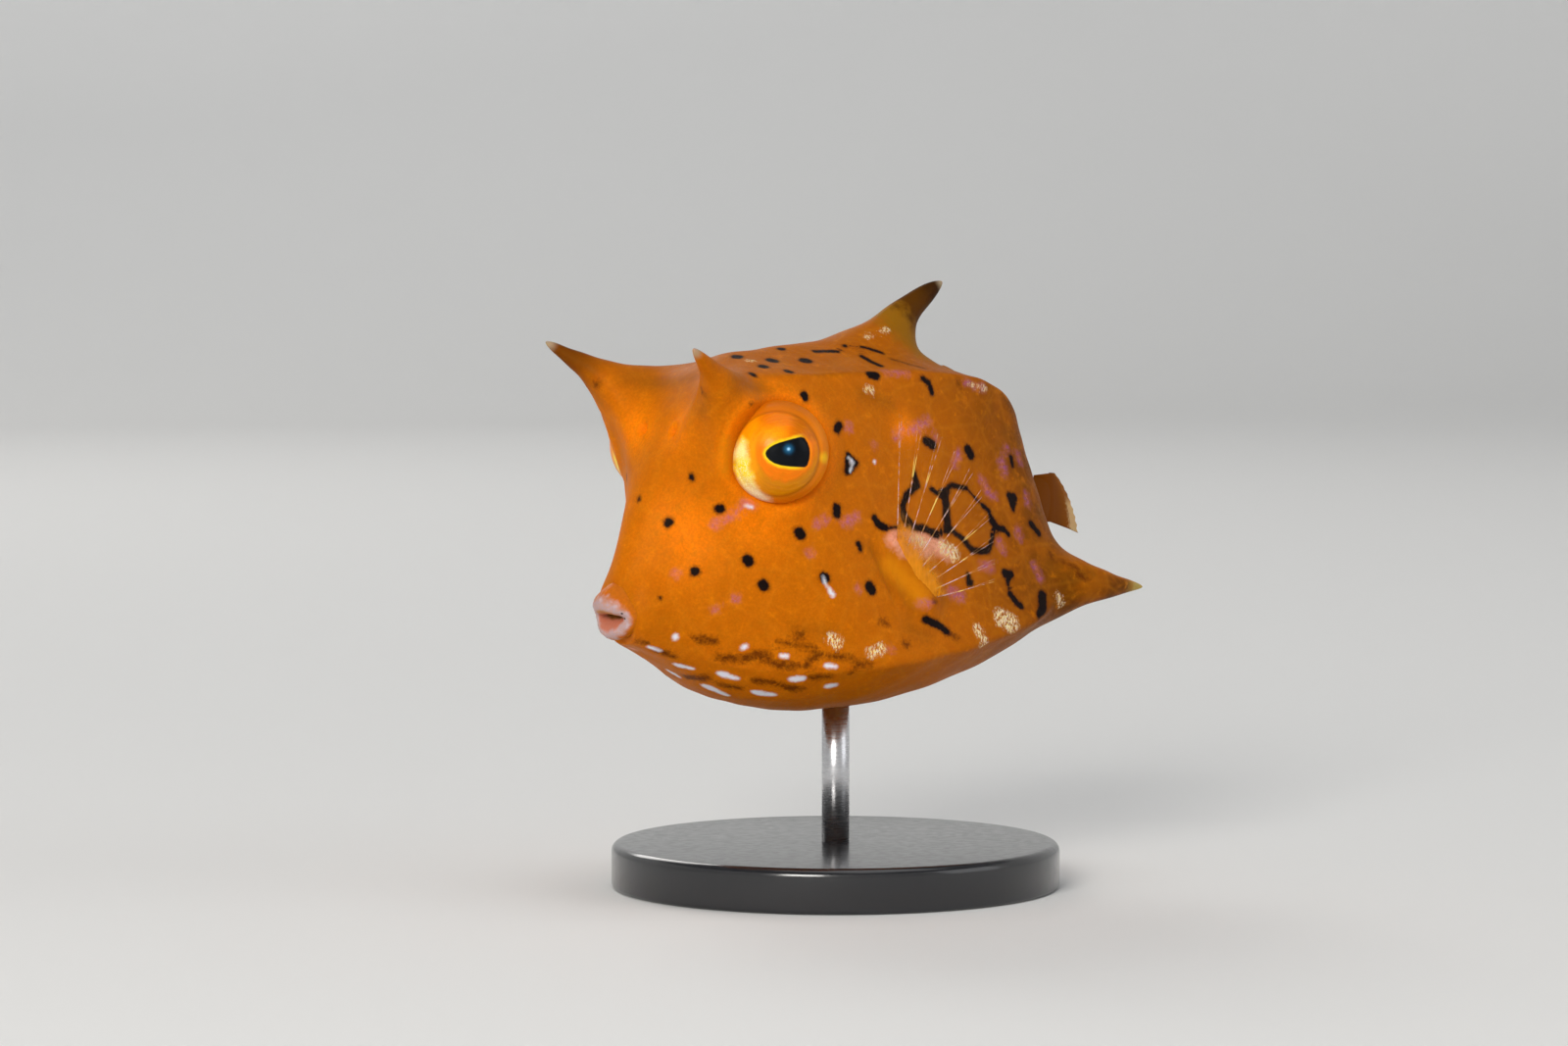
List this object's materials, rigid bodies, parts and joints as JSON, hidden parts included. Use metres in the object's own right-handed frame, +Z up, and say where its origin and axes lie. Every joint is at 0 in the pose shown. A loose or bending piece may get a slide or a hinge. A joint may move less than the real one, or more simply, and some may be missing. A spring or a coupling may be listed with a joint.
{
  "type": "thornback cowfish model",
  "caption": "Life-size still model of a young thornback cowfish with horns, a back thorn and hip spines, held level on a rod over a round base.",
  "frame": {"origin": "middle of the underside of the round base, under the rod", "axes": "+Z up, the fish faces -X, its left side is towards -Y and its tail fin swings towards +Y"},
  "size_m": [0.0394, 0.026, 0.0349],
  "materials": {
    "skin": "satin orange skin with black spots and pale dashes",
    "spines": "satin amber, pale at the points",
    "fins": "clear skin between fine rays",
    "eyes": "wet gold eye with a dark pupil",
    "lips": "soft pinkish white",
    "base": "satin black",
    "rod": "brushed"
  },
  "bodies": {
    "root": {"head": "skin", "trunk": "skin", "tail_peduncle": "skin", "horn_left": "spines", "horn_right": "spines", "back_thorn": "spines", "hip_spine_left": "spines", "hip_spine_right": "spines", "pectoral_fin_left": "fins", "pectoral_fin_right": "fins", "dorsal_fin": "fins", "anal_fin": "fins", "caudal_fin": "fins", "eye_left": "eyes", "eye_right": "eyes", "lips": "lips", "stand_base": "base", "stand_rod": "rod"}
  },
  "joints": []
}
